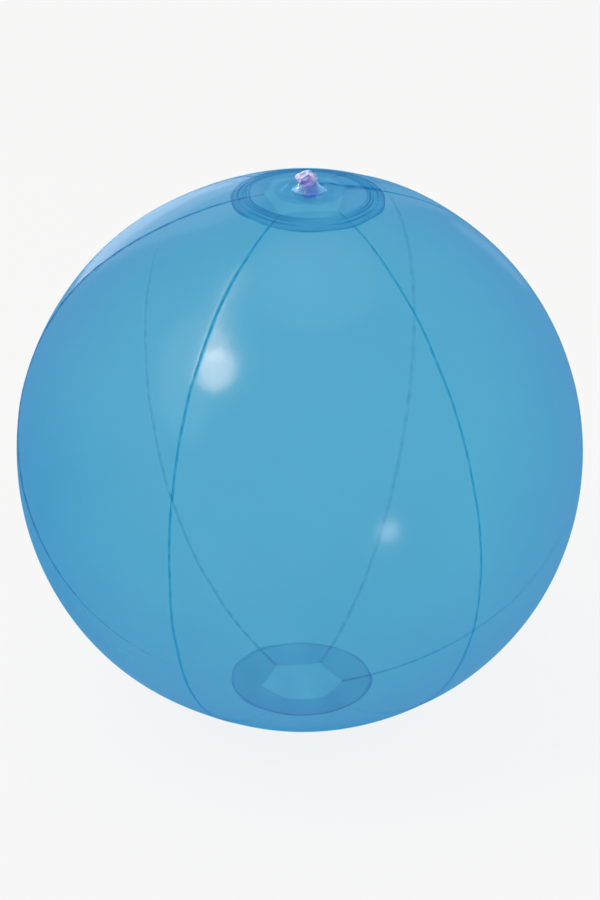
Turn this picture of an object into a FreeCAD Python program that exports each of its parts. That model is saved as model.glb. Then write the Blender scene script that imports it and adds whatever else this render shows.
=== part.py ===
"""Inflated beach ball of six translucent film panels, with two end caps and a push-in air valve.

The ball stands on the middle of its bottom cap, flattened there as a soft ball is by its own weight.
Z is up through the two caps. The origin is the centre of that flat.
"""
import FreeCAD, Part
import os

import Sketcher
from FreeCAD import Placement, Rotation, Vector

PANEL_COUNT = 6
FULL_TURN = 360
PANEL_ANGLE = FULL_TURN / PANEL_COUNT
HALF_PANEL_ANGLE = PANEL_ANGLE / 2
FRONT_BEARING = -90

# Every length is in millimetres, and the two valve bearings are in degrees.
SIZES = {
    # The film ball
    "ball_radius": 140,
    "film_thickness": 0.25,
    "seam_recess": 0.9,
    "seam_fin_depth": 0.8,
    "top_hexagon_radius": 28.5,
    "bottom_hexagon_radius": 23.5,
    "cap_radius": 36.8,
    "rest_flat_depth": 0.5,
    # The valve's seat in the top cap
    "valve_hole_radius": 8,
    "valve_patch_radius": 16.5,
    "valve_flange_radius": 13,
    "valve_flange_thickness": 0.5,
    "web_thickness": 0.45,
    "web_low_rise": 0.6,
    "valve_lean": 22,
    # The stem, measured along its own axis from the underside of its collar
    "stem_radius": 3.7,
    "stem_bore_radius": 2.7,
    "stem_depth": 6,
    "stem_rise": 4,
    "collar_radius": 4.4,
    "collar_height": 1.2,
    "lip_radius": 4.1,
    "lip_height": 1.1,
    "lip_round": 0.35,
    # The stopper and its strap
    "head_radius": 4.4,
    "head_thickness": 1.9,
    "head_round": 0.7,
    "plug_length": 4,
    "plug_tip_chamfer": 0.4,
    "plug_fit": 0.03,
    "strap_width": 3.4,
    "strap_thickness": 0.9,
    "strap_bearing": -40,
    # The check flap under the stem
    "flap_radius": 3.3,
    "flap_thickness": 0.45,
    "flap_tab_width": 2.4,
    # One clearance for pieces that seat on each other, and one overrun for every cut
    "seat_gap": 0.1,
    "cut_overrun": 3,
}

# Formulas that more than one piece uses, in the words of the sheet.
CAP_INSIDE = "(Sizes.ball_radius + Sizes.seat_gap)"
CAP_OUTSIDE = f"({CAP_INSIDE} + Sizes.film_thickness)"
CENTRE_HEIGHT = f"({CAP_OUTSIDE} - Sizes.rest_flat_depth)"
FILM_INSIDE = "(Sizes.ball_radius - Sizes.film_thickness)"
FLANGE_OUTSIDE = f"({FILM_INSIDE} - Sizes.seat_gap)"
FLANGE_INSIDE = f"({FLANGE_OUTSIDE} - Sizes.valve_flange_thickness)"
BULGE_AXIS = f"(Sizes.seam_recess / (1 - cos({HALF_PANEL_ANGLE})))"
TOP_APOTHEM = f"(Sizes.top_hexagon_radius * cos({HALF_PANEL_ANGLE}))"
BOTTOM_APOTHEM = f"(Sizes.bottom_hexagon_radius * cos({HALF_PANEL_ANGLE}))"
BAND_END = f"(({BULGE_AXIS} + min({TOP_APOTHEM}; {BOTTOM_APOTHEM})) / 2)"
CUT_REACH = "(Sizes.ball_radius + Sizes.cut_overrun)"
FLANGE_TOP = f"sqrt({FLANGE_OUTSIDE} ^ 2 - Sizes.valve_hole_radius ^ 2)"
COLLAR_LEVEL = (
    "(Sizes.collar_radius * tan(Sizes.valve_lean) + Sizes.web_low_rise / cos(Sizes.valve_lean))"
)
HEAD_SEAT = "(Sizes.stem_rise + Sizes.seat_gap)"
STRAP_LOW = "(Sizes.collar_height / 2)"
STRAP_HIGH = f"({HEAD_SEAT} + Sizes.head_thickness / 2)"
STRAP_MIDDLE = f"(({STRAP_LOW} + {STRAP_HIGH}) / 2)"
STRAP_BEND = f"(({STRAP_HIGH} - {STRAP_LOW}) / 2)"
FLAP_TOP = "(-Sizes.stem_depth - Sizes.seat_gap)"

# The sketch origin, and the points of a line or an arc, as a sketch counts them.
ORIGIN_POINT = (-1, 1)
START, END, CENTRE = range(1, 4)

doc = FreeCAD.newDocument("beach_ball")
sheet = doc.addObject("Spreadsheet::Sheet", "Sizes")
for row, (alias, size) in enumerate(SIZES.items(), start=1):
    sheet.set(f"A{row}", alias)
    sheet.set(f"B{row}", str(size))
    sheet.setAlias(f"B{row}", alias)
doc.recompute()


def number(formula):
    """The value that a formula has now, used only to lay a sketch out near its final shape."""
    return float(sheet.evalExpression(formula))


def new_body(label):
    """A body at the origin of the part."""
    body = doc.addObject("PartDesign::Body", label)
    body.Label = label
    return body


def place_at_ball_centre(body, bearing=0):
    """Sets a body's own origin at the centre of the ball, turned to a bearing about the vertical."""
    body.Placement = Placement(Vector(), Rotation(Vector(0, 0, 1), bearing))
    body.setExpression(".Placement.Base.z", CENTRE_HEIGHT)


def place_on_valve(body):
    """Sets a body's own origin under the middle of the stem's collar, leaning with the valve."""
    body.Placement = Placement(Vector(), Rotation(Vector(0, -1, 0), number("Sizes.valve_lean")))
    body.setExpression(".Placement.Rotation.Angle", "Sizes.valve_lean")
    body.setExpression(".Placement.Base.x", f"-{COLLAR_LEVEL} * sin(Sizes.valve_lean)")
    body.setExpression(
        ".Placement.Base.z",
        f"{CENTRE_HEIGHT} + {CAP_OUTSIDE} + {COLLAR_LEVEL} * cos(Sizes.valve_lean)",
    )


def origin_feature(body, role):
    """One of a body's own origin planes or axes."""
    return next(item for item in body.Origin.OriginFeatures if item.Role == role)


def new_sketch(body, name, plane, turn=None):
    """A sketch on one of the body's origin planes, turned within it when a rotation is given."""
    sketch = body.newObject("Sketcher::SketchObject", name)
    sketch.AttachmentSupport = [(origin_feature(body, plane), "")]
    sketch.MapMode = "FlatFace"
    if turn is not None:
        sketch.AttachmentOffset = Placement(Vector(), turn)
    return sketch


def constrain(sketch, name, kind, places, formula):
    """Adds one driving dimension to a sketch and binds it to a formula."""
    index = sketch.addConstraint(Sketcher.Constraint(kind, *places, number(formula)))
    sketch.renameConstraint(index, name)
    sketch.setExpression(f"Constraints.{name}", formula)


def join(sketch, first, second):
    """Makes two points of a sketch one."""
    sketch.addConstraint(Sketcher.Constraint("Coincident", *first, *second))


def draw_polygon(sketch, corners):
    """A closed outline of straight lines, each corner bound to its pair of formulas."""
    points = [Vector(number(across), number(up), 0) for across, up in corners]
    followers = points[1:] + points[:1]
    lines = [
        sketch.addGeometry(Part.LineSegment(here, there), False)
        for here, there in zip(points, followers)
    ]
    for place, line in enumerate(lines):
        join(sketch, (lines[place - 1], END), (line, START))
        across, up = corners[place]
        constrain(sketch, f"corner_{place}_across", "DistanceX", (*ORIGIN_POINT, line, START), across)
        constrain(sketch, f"corner_{place}_up", "DistanceY", (*ORIGIN_POINT, line, START), up)


def draw_circle(sketch, radius):
    """A circle about the sketch's origin."""
    circle = Part.Circle(Vector(), Vector(0, 0, 1), number(radius))
    index = sketch.addGeometry(circle, False)
    join(sketch, (index, CENTRE), ORIGIN_POINT)
    constrain(sketch, "circle_radius", "Radius", (index,), radius)


def draw_arc(sketch, name, radius, low, high):
    """An arc about the sketch's origin between two points (x, side of the x axis)."""
    size = number(radius)
    circle = Part.Circle(Vector(), Vector(0, 0, 1), size)
    ends = [
        Vector(number(across), side * (size**2 - number(across) ** 2) ** 0.5, 0)
        for across, side in (low, high)
    ]
    angles = [circle.parameter(end) for end in ends]
    index = sketch.addGeometry(Part.ArcOfCircle(circle, *angles), False)
    join(sketch, (index, CENTRE), ORIGIN_POINT)
    constrain(sketch, f"{name}_radius", "Radius", (index,), radius)
    return index, ends


def draw_band(sketch, inner, outer, low, high):
    """A strip between two arcs about the sketch's origin, cut off by upright lines at its two ends.

    low and high are the ends, the one met first going anticlockwise first, each a pair of a
    formula for its distance from the axis and its side of the x axis, 1 above and -1 below.
    """
    outer_arc, outer_ends = draw_arc(sketch, "outer", outer, low, high)
    inner_arc, inner_ends = draw_arc(sketch, "inner", inner, low, high)
    for name, place, arc_end in (("low", 0, START), ("high", 1, END)):
        line = sketch.addGeometry(Part.LineSegment(inner_ends[place], outer_ends[place]), False)
        join(sketch, (line, START), (inner_arc, arc_end))
        join(sketch, (line, END), (outer_arc, arc_end))
        sketch.addConstraint(Sketcher.Constraint("Vertical", line))
        across = (low, high)[place][0]
        constrain(sketch, f"{name}_end", "DistanceX", (*ORIGIN_POINT, line, START), across)


def draw_axis(sketch, across):
    """An upright construction line that a profile can be turned about."""
    place = number(across)
    reach = number("Sizes.ball_radius")
    index = sketch.addGeometry(Part.LineSegment(Vector(place, 0, 0), Vector(place, reach, 0)), True)
    sketch.addConstraint(Sketcher.Constraint("Vertical", index))
    constrain(sketch, "axis_place", "DistanceX", (*ORIGIN_POINT, index, START), across)
    constrain(sketch, "axis_low", "DistanceY", (*ORIGIN_POINT, index, START), "0")
    constrain(sketch, "axis_high", "DistanceY", (*ORIGIN_POINT, index, END), "Sizes.ball_radius")


def turn_profile(body, kind, name, sketch, axis):
    """A solid or a cut made by a full turn of a profile, which starts and ends in its plane."""
    feature = body.newObject(f"PartDesign::{kind}", name)
    feature.Profile = sketch
    feature.ReferenceAxis = axis
    feature.Angle = FULL_TURN
    return feature


def revolve(body, name, sketch):
    """A full turn of a profile about the body's upright axis."""
    return turn_profile(body, "Revolution", name, sketch, (origin_feature(body, "Z_Axis"), [""]))


def cut_through(body, name, sketch, upwards=False, both_ways=False):
    """A straight cut from the sketch's plane right through to one side, or to both."""
    cut = body.newObject("PartDesign::Pocket", name)
    cut.Profile = sketch
    cut.Type = "ThroughAll"
    cut.Midplane = both_ways
    cut.Reversed = upwards


def round_edges(body, name, base, radius, chosen):
    """Rounds the edges of a feature that a test picks out."""
    doc.recompute()
    edges = [f"Edge{place}" for place, edge in enumerate(base.Shape.Edges, start=1) if chosen(edge)]
    feature = body.newObject("PartDesign::Fillet", name)
    feature.Base = (base, edges)
    feature.setExpression("Radius", radius)
    return feature


def is_circle(edge, radius, height):
    """Whether an edge is a circle of this radius at this height about the body's axis."""
    if not isinstance(edge.Curve, Part.Circle):
        return False
    close = number("Sizes.seat_gap")
    return abs(edge.Curve.Radius - radius) < close and abs(edge.Curve.Center.z - height) < close


def make_panel(label, bearing):
    """One long panel: film bowed between its two seams, with a weld fin turned inwards along each.

    The bow comes from turning the ball's outline about a line that stands a little outside the
    ball's own axis, towards the panel. The full turn starts at the panel's middle, and the film is
    then cut off at both seams. The panel's ends are cut straight, so that the ends of all the
    panels leave a six-sided opening under each cap.
    """
    body = new_body(label)
    meridian = Rotation(Vector(0, 1, 0), HALF_PANEL_ANGLE)
    top_end, bottom_end = (BAND_END, 1), (BAND_END, -1)

    fin_sketch = new_sketch(body, "fin_outline", "XZ_Plane", meridian)
    fin_inner = f"({FILM_INSIDE} - Sizes.seam_recess - Sizes.seam_fin_depth)"
    draw_band(fin_sketch, fin_inner, CUT_REACH, bottom_end, top_end)
    fin = body.newObject("PartDesign::Pad", "seam_fin")
    fin.Profile = fin_sketch
    fin.setExpression("Length", "Sizes.film_thickness")

    both_fins = body.newObject("PartDesign::Mirrored", "both_fins")
    both_fins.Originals = [fin]
    both_fins.MirrorPlane = (origin_feature(body, "XZ_Plane"), [""])
    body.Tip = both_fins

    trim_sketch = new_sketch(body, "outside_the_film", "XZ_Plane")
    film_middle = "(Sizes.ball_radius - Sizes.film_thickness / 2)"
    far_outside = f"({CUT_REACH} + Sizes.cut_overrun)"
    draw_band(trim_sketch, film_middle, far_outside, bottom_end, top_end)
    draw_axis(trim_sketch, BULGE_AXIS)
    turn_profile(body, "Groove", "trim_fins", trim_sketch, (trim_sketch, ["Axis0"]))

    skin_sketch = new_sketch(body, "film_outline", "XZ_Plane")
    draw_band(skin_sketch, FILM_INSIDE, "Sizes.ball_radius", bottom_end, top_end)
    draw_axis(skin_sketch, BULGE_AXIS)
    turn_profile(body, "Revolution", "film", skin_sketch, (skin_sketch, ["Axis0"]))

    half_width = f"({CUT_REACH} * tan({HALF_PANEL_ANGLE}))"
    for name, side in (("left", ""), ("right", "-")):
        sector_sketch = new_sketch(body, f"beyond_{name}_seam", "XY_Plane")
        draw_polygon(sector_sketch, [
            ("0", "0"),
            (CUT_REACH, side + half_width),
            (CUT_REACH, side + CUT_REACH),
            ("-" + CUT_REACH, side + CUT_REACH),
            ("-" + CUT_REACH, "0"),
        ])
        cut_through(body, f"cut_{name}_seam", sector_sketch, both_ways=True)

    for name, apothem in (("top", TOP_APOTHEM), ("bottom", BOTTOM_APOTHEM)):
        end_sketch = new_sketch(body, f"{name}_opening", "XY_Plane")
        draw_polygon(end_sketch, [
            ("0", f"-{half_width}"),
            (apothem, f"-{half_width}"),
            (apothem, half_width),
            ("0", half_width),
        ])
        cut_through(body, f"cut_{name}_end", end_sketch, upwards=name == "top")

    place_at_ball_centre(body, bearing)
    return body


def make_film_ring(label, inner, outer, hole, edge):
    """A round piece of film that follows the ball near the top, with a hole in its middle."""
    body = new_body(label)
    sketch = new_sketch(body, "section", "XZ_Plane")
    draw_band(sketch, inner, outer, (edge, 1), (hole, 1))
    revolve(body, "disc", sketch)
    place_at_ball_centre(body)
    return body


def make_bottom_cap():
    """The round piece of film over the lower panel ends, flat where the ball rests."""
    body = new_body("bottom_cap")
    sketch = new_sketch(body, "section", "XZ_Plane")
    radii = {"outer": CAP_OUTSIDE, "inner": CAP_INSIDE}
    heights = {name: f"(-{radius} + Sizes.rest_flat_depth)" for name, radius in radii.items()}
    arcs, rims, flats = {}, {}, {}
    for name in ("outer", "inner"):
        flat_edge = f"sqrt({radii[name]} ^ 2 - {heights[name]} ^ 2)"
        ends = (flat_edge, -1), ("Sizes.cap_radius", -1)
        arcs[name], (_, rims[name]) = draw_arc(sketch, name, radii[name], *ends)
        level = number(heights[name])
        middle, edge = Vector(0, level, 0), Vector(number(flat_edge), level, 0)
        flats[name] = sketch.addGeometry(Part.LineSegment(middle, edge), False)
        join(sketch, (flats[name], END), (arcs[name], START))
        sketch.addConstraint(Sketcher.Constraint("Horizontal", flats[name]))
        constrain(sketch, f"{name}_flat", "DistanceY", (*ORIGIN_POINT, flats[name], START), heights[name])
        constrain(sketch, f"{name}_middle", "DistanceX", (*ORIGIN_POINT, flats[name], START), "0")
    rim = sketch.addGeometry(Part.LineSegment(rims["outer"], rims["inner"]), False)
    join(sketch, (rim, START), (arcs["outer"], END))
    join(sketch, (rim, END), (arcs["inner"], END))
    sketch.addConstraint(Sketcher.Constraint("Vertical", rim))
    constrain(sketch, "rim_place", "DistanceX", (*ORIGIN_POINT, rim, START), "Sizes.cap_radius")
    low, high = Vector(0, number(heights["outer"]), 0), Vector(0, number(heights["inner"]), 0)
    axis_line = sketch.addGeometry(Part.LineSegment(low, high), False)
    join(sketch, (axis_line, START), (flats["outer"], START))
    join(sketch, (axis_line, END), (flats["inner"], START))
    revolve(body, "disc", sketch)
    place_at_ball_centre(body)
    return body


def make_web():
    """The soft cone between the flange and the leaning stem, which lets the valve be pushed in."""
    body = new_body("valve_web")
    rim = "(Sizes.valve_hole_radius - Sizes.seat_gap)"

    def rim_circle(name, radius):
        sketch = new_sketch(body, name, "XY_Plane")
        sketch.setExpression(".AttachmentOffset.Base.z", FLANGE_TOP)
        draw_circle(sketch, radius)
        return sketch

    def crown_circle(name, radius, level):
        lean = Rotation(Vector(0, -1, 0), number("Sizes.valve_lean"))
        sketch = new_sketch(body, name, "XY_Plane", lean)
        sketch.setExpression(".AttachmentOffset.Rotation.Angle", "Sizes.valve_lean")
        sketch.setExpression(".AttachmentOffset.Base.x", f"-{level} * sin(Sizes.valve_lean)")
        sketch.setExpression(".AttachmentOffset.Base.z", f"{CAP_OUTSIDE} + {level} * cos(Sizes.valve_lean)")
        draw_circle(sketch, radius)
        return sketch

    crown_level = f"({COLLAR_LEVEL} - Sizes.seat_gap)"
    hollow_level = f"({crown_level} - Sizes.web_thickness)"
    hollow_rim = f"({rim} - Sizes.web_thickness)"
    hollow_crown = "(Sizes.collar_radius - Sizes.web_thickness / 2)"
    for kind, word, rim_radius, crown_radius, level in (
        ("AdditiveLoft", "cone", rim, "Sizes.collar_radius", crown_level),
        ("SubtractiveLoft", "hollow", hollow_rim, hollow_crown, hollow_level),
    ):
        lower = rim_circle(f"{word}_rim", rim_radius)
        upper = crown_circle(f"{word}_crown", crown_radius, level)
        loft = body.newObject(f"PartDesign::{kind}", word)
        loft.Profile = lower
        loft.Sections = [upper]
        loft.Ruled = True

    passage = crown_circle("stem_passage", "(Sizes.stem_radius + Sizes.seat_gap)", crown_level)
    bore = body.newObject("PartDesign::Pocket", "stem_hole")
    bore.Profile = passage
    bore.setExpression("Length", "Sizes.web_thickness + Sizes.cut_overrun")
    place_at_ball_centre(body)
    return body


def make_stem():
    """The soft tube that is blown into, with a collar over the web and a lip round its mouth."""
    body = new_body("valve_stem")
    sketch = new_sketch(body, "section", "XZ_Plane")
    lip_low = "(Sizes.stem_rise - Sizes.lip_height)"
    draw_polygon(sketch, [
        ("Sizes.stem_bore_radius", "-Sizes.stem_depth"),
        ("Sizes.stem_radius", "-Sizes.stem_depth"),
        ("Sizes.stem_radius", "0"),
        ("Sizes.collar_radius", "0"),
        ("Sizes.collar_radius", "Sizes.collar_height"),
        ("Sizes.stem_radius", "Sizes.collar_height"),
        ("Sizes.stem_radius", lip_low),
        ("Sizes.lip_radius", lip_low),
        ("Sizes.lip_radius", "Sizes.stem_rise"),
        ("Sizes.stem_bore_radius", "Sizes.stem_rise"),
    ])
    tube = revolve(body, "tube", sketch)
    rims = [
        (number("Sizes.lip_radius"), number("Sizes.stem_rise")),
        (number("Sizes.lip_radius"), number(lip_low)),
        (number("Sizes.collar_radius"), number("Sizes.collar_height")),
    ]
    round_edges(body, "soft_rims", tube, "Sizes.lip_round",
                lambda edge: any(is_circle(edge, radius, height) for radius, height in rims))
    place_on_valve(body)
    return body


def make_stopper():
    """The plug that closes the stem, with a thicker head to pull it out by."""
    body = new_body("stopper")
    sketch = new_sketch(body, "section", "XZ_Plane")
    plug = "(Sizes.stem_bore_radius - Sizes.plug_fit)"
    plug_end = f"({HEAD_SEAT} - Sizes.plug_length)"
    head_top = f"({HEAD_SEAT} + Sizes.head_thickness)"
    draw_polygon(sketch, [
        ("0", plug_end),
        (f"({plug} - Sizes.plug_tip_chamfer)", plug_end),
        (plug, f"({plug_end} + Sizes.plug_tip_chamfer)"),
        (plug, HEAD_SEAT),
        ("Sizes.head_radius", HEAD_SEAT),
        ("Sizes.head_radius", head_top),
        ("0", head_top),
    ])
    pin = revolve(body, "plug_and_head", sketch)
    radius, height = number("Sizes.head_radius"), number(head_top)
    round_edges(body, "soft_head", pin, "Sizes.head_round",
                lambda edge: is_circle(edge, radius, height))
    place_on_valve(body)
    return body


def make_strap():
    """The bowed strap that keeps the stopper on the stem, from the collar to the rim of the head."""
    body = new_body("stopper_strap")
    bearing = Rotation(Vector(0, 1, 0), number("Sizes.strap_bearing"))
    sketch = new_sketch(body, "bow", "XZ_Plane", bearing)
    sketch.setExpression(".AttachmentOffset.Rotation.Angle", "Sizes.strap_bearing")
    middle = Vector(number("Sizes.head_radius"), number(STRAP_MIDDLE), 0)
    half = "Sizes.strap_thickness / 2"
    radii = {"outer": f"({STRAP_BEND} + {half})", "inner": f"({STRAP_BEND} - {half})"}
    arcs = {}
    for name, radius in radii.items():
        size = number(radius)
        circle = Part.Circle(middle, Vector(0, 0, 1), size)
        ends = [circle.parameter(middle + Vector(0, side * size, 0)) for side in (-1, 1)]
        arcs[name] = sketch.addGeometry(Part.ArcOfCircle(circle, *ends), False)
        constrain(sketch, f"{name}_radius", "Radius", (arcs[name],), radius)
        constrain(sketch, f"{name}_centre_across", "DistanceX", (*ORIGIN_POINT, arcs[name], CENTRE),
                  "Sizes.head_radius")
        constrain(sketch, f"{name}_centre_up", "DistanceY", (*ORIGIN_POINT, arcs[name], CENTRE),
                  STRAP_MIDDLE)
    for name, side, arc_end in (("low", -1, START), ("high", 1, END)):
        inner_end = middle + Vector(0, side * number(radii["inner"]), 0)
        outer_end = middle + Vector(0, side * number(radii["outer"]), 0)
        line = sketch.addGeometry(Part.LineSegment(inner_end, outer_end), False)
        join(sketch, (line, START), (arcs["inner"], arc_end))
        join(sketch, (line, END), (arcs["outer"], arc_end))
        constrain(sketch, f"{name}_end", "DistanceX", (*ORIGIN_POINT, line, START), "Sizes.head_radius")
        sketch.addConstraint(Sketcher.Constraint("Vertical", line))
    band = body.newObject("PartDesign::Pad", "band")
    band.Profile = sketch
    band.Midplane = True
    band.setExpression("Length", "Sizes.strap_width")

    seats = new_sketch(body, "collar_and_head", "XZ_Plane")
    face = "(max(Sizes.collar_radius; Sizes.head_radius) + Sizes.seat_gap)"
    low, high = "(-Sizes.cut_overrun)", f"({STRAP_HIGH} + Sizes.strap_thickness + Sizes.cut_overrun)"
    draw_polygon(seats, [("0", low), (face, low), (face, high), ("0", high)])
    turn_profile(body, "Groove", "fit_ends", seats, (origin_feature(body, "Z_Axis"), [""]))
    place_on_valve(body)
    return body


def make_flap():
    """The thin disc under the stem that air lifts off its seat, with the tab that it bends at."""
    body = new_body("check_flap")

    def pad_down(name, sketch):
        sketch.setExpression(".AttachmentOffset.Base.z", FLAP_TOP)
        pad = body.newObject("PartDesign::Pad", name)
        pad.Profile = sketch
        pad.Reversed = True
        pad.setExpression("Length", "Sizes.flap_thickness")

    disc_sketch = new_sketch(body, "disc_outline", "XY_Plane")
    draw_circle(disc_sketch, "Sizes.flap_radius")
    pad_down("disc", disc_sketch)
    tab_sketch = new_sketch(body, "tab_outline", "XY_Plane")
    half = "(Sizes.flap_tab_width / 2)"
    draw_polygon(tab_sketch, [
        ("-Sizes.stem_radius", f"-{half}"),
        ("0", f"-{half}"),
        ("0", half),
        ("-Sizes.stem_radius", half),
    ])
    pad_down("tab", tab_sketch)
    place_on_valve(body)
    return body


pieces = [
    make_panel(f"panel_{place + 1}", FRONT_BEARING + place * PANEL_ANGLE)
    for place in range(PANEL_COUNT)
]
pieces += [
    make_film_ring("top_cap", CAP_INSIDE, CAP_OUTSIDE, "Sizes.valve_hole_radius", "Sizes.cap_radius"),
    make_bottom_cap(),
    make_film_ring("valve_patch", FILM_INSIDE, "Sizes.ball_radius", "Sizes.valve_hole_radius",
                   "Sizes.valve_patch_radius"),
    make_film_ring("valve_flange", FLANGE_INSIDE, FLANGE_OUTSIDE, "Sizes.valve_hole_radius",
                   "Sizes.valve_flange_radius"),
    make_web(),
    make_stem(),
    make_stopper(),
    make_strap(),
    make_flap(),
]
doc.recompute()

for item in doc.Objects:
    if "Invalid" in item.State or "Error" in item.State:
        raise RuntimeError(f"{item.Label} did not compute: {item.State}")
for piece in pieces:
    if piece.Shape.isNull() or not piece.Shape.isValid() or len(piece.Shape.Solids) != 1:
        raise RuntimeError(f"{piece.Label} is not one sound solid")

os.makedirs("parts", exist_ok=True)
for piece in pieces:
    piece.Shape.exportStep(f"parts/{piece.Label}.step")
    print(f"{piece.Label}: {piece.Shape.Volume:.1f} cubic mm, box {piece.Shape.BoundBox}")
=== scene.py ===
"""Beach ball of translucent blue film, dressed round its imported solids, on a plain pale floor.

All lengths are in metres, in the frame of the solids: Z up through the two caps, the front towards
-Y, and the origin at the centre of the flat that the ball rests on.
"""
import math
from collections import namedtuple

import bpy
import numpy as np
from mathutils import Matrix, Vector


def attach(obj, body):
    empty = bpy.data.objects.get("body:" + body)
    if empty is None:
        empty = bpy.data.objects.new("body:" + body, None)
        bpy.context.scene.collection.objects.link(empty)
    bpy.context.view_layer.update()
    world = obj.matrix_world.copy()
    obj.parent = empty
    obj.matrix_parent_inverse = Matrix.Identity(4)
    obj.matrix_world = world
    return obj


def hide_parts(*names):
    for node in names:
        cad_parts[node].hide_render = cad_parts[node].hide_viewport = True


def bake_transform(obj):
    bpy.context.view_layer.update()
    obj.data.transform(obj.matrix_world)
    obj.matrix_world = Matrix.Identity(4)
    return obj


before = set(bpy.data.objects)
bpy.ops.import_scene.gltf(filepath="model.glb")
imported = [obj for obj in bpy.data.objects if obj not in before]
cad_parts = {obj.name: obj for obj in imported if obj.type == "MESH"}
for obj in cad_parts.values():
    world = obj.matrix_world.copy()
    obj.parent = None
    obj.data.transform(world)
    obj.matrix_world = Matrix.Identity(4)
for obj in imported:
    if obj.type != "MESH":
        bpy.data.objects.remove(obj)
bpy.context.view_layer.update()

MM = 0.001
PANEL_COUNT = 6
PANEL_ANGLE = 2 * math.pi / PANEL_COUNT
HALF_ANGLE = PANEL_ANGLE / 2
FRONT_BEARING = -math.pi / 2

# The film ball, as in the solids
BALL_RADIUS = 140 * MM
FILM = 0.25 * MM
SEAT_GAP = 0.1 * MM
SEAM_RECESS = 0.9 * MM
FIN_DEPTH = 0.8 * MM
CAP_RADIUS = 36.8 * MM
REST_FLAT_DEPTH = 0.5 * MM
CAP_INSIDE = BALL_RADIUS + SEAT_GAP
CAP_OUTSIDE = CAP_INSIDE + FILM
CENTRE_HEIGHT = CAP_OUTSIDE - REST_FLAT_DEPTH
BULGE_AXIS = SEAM_RECESS / (1 - math.cos(HALF_ANGLE))

# The valve, as in the solids
HOLE_RADIUS = 8 * MM
PATCH_RADIUS = 16.5 * MM
FLANGE_RADIUS = 13 * MM
FLANGE_THICKNESS = 0.5 * MM
WEB_THICKNESS = 0.45 * MM
WEB_LOW_RISE = 0.6 * MM
VALVE_LEAN = math.radians(22)
STEM_RADIUS = 3.7 * MM
STEM_BORE = 2.7 * MM
STEM_DEPTH = 6 * MM
STEM_RISE = 4 * MM
COLLAR_RADIUS = 4.4 * MM
COLLAR_HEIGHT = 1.2 * MM
LIP_RADIUS = 4.1 * MM
LIP_HEIGHT = 1.1 * MM
HEAD_RADIUS = 4.4 * MM
HEAD_THICKNESS = 1.9 * MM
PLUG_LENGTH = 4 * MM
PLUG_FIT = 0.03 * MM
STRAP_WIDTH = 3.4 * MM
STRAP_THICKNESS = 0.9 * MM
STRAP_BEARING = math.radians(-40)
FLAP_RADIUS = 3.3 * MM
FLAP_THICKNESS = 0.45 * MM
FLAP_TAB_WIDTH = 2.4 * MM


def bell(place, reach):
    """A bell curve, 1 where the place is 0."""
    return np.exp(-((place / reach) ** 2))


def rise(place, reach):
    """A soft step from 0 up to 1, half way where the place is 0."""
    return 1 / (1 + np.exp(-place / reach))


def ripple(seed, place, shortest, longest, waves=7):
    """A smooth uneven wave from about -1 to 1 along a length, the same each time for one seed."""
    draw = np.random.default_rng(seed)
    lengths = draw.uniform(shortest, longest, waves)
    phases = draw.uniform(0, 2 * math.pi, waves)
    parts = [np.sin(2 * math.pi * place / length + phase) for length, phase in zip(lengths, phases)]
    return sum(parts) / math.sqrt(waves)


def swell(seed, points, length, waves=9, shortest=0.7, longest=1.5):
    """A smooth uneven field from about -1 to 1 over points in space, its waves about this long."""
    draw = np.random.default_rng(seed)
    total = np.zeros(points.shape[:-1])
    for _ in range(waves):
        direction = draw.normal(size=3)
        direction /= np.linalg.norm(direction)
        wavelength = length * draw.uniform(shortest, longest)
        total += np.sin(2 * math.pi * points @ direction / wavelength + draw.uniform(0, 2 * math.pi))
    return total / math.sqrt(waves)


def new_piece(name, points, faces, material):
    """A smooth mesh piece of the object with its material."""
    mesh = bpy.data.meshes.new(name)
    mesh.from_pydata([tuple(point) for point in points], [], faces)
    mesh.validate()
    mesh.shade_smooth()
    mesh.materials.append(material)
    piece = bpy.data.objects.new(name, mesh)
    bpy.context.scene.collection.objects.link(piece)
    return piece


def mark(piece, weld, gloss):
    """Stores how welded the points of both skins are, and how glossy those of the outer skin are."""
    mesh = piece.data
    for name, values in (("weld", np.concatenate([weld, weld])), ("outer_skin", gloss)):
        stored = np.zeros(len(mesh.vertices), np.float32)
        stored[:len(values)] = values
        mesh.attributes.new(name, "FLOAT", "POINT").data.foreach_set("value", stored)


def sheet_faces(rows, columns, wrap=False):
    """The quads of a grid of rows and columns, closed round across the columns when wrapped."""
    last = columns if wrap else columns - 1
    return [
        (row * columns + column, row * columns + (column + 1) % columns,
         (row + 1) * columns + (column + 1) % columns, (row + 1) * columns + column)
        for row in range(rows - 1) for column in range(last)
    ]


def shell(outer, inner, wrap=False):
    """Points and faces of a closed thin shell between two like grids of points."""
    rows, columns = outer.shape[:2]
    size = rows * columns
    points = np.concatenate([outer.reshape(-1, 3), inner.reshape(-1, 3)])
    faces = sheet_faces(rows, columns, wrap)
    faces += [tuple(size + corner for corner in reversed(face)) for face in faces]
    last = columns if wrap else columns - 1
    foot = (rows - 1) * columns
    for column in range(last):
        after = (column + 1) % columns
        faces.append((after, column, size + column, size + after))
        faces.append((foot + column, foot + after, size + foot + after, size + foot + column))
    if not wrap:
        for row in range(rows - 1):
            here, below = row * columns, (row + 1) * columns
            faces.append((here, below, size + below, size + here))
            here, below = here + columns - 1, below + columns - 1
            faces.append((below, here, size + here, size + below))
    return points, faces


# Materials

WHITE = (1, 1, 1, 1)
FULL_SPAN = (0, 1)
EVEN_BLEND = 0.5

# Each noise has a scale and a detail, and each relief a strength and a depth
NOISE_SPAN = (0.3, 0.7)
HAZE_NOISE_SPAN = (0.4, 0.7)

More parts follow.
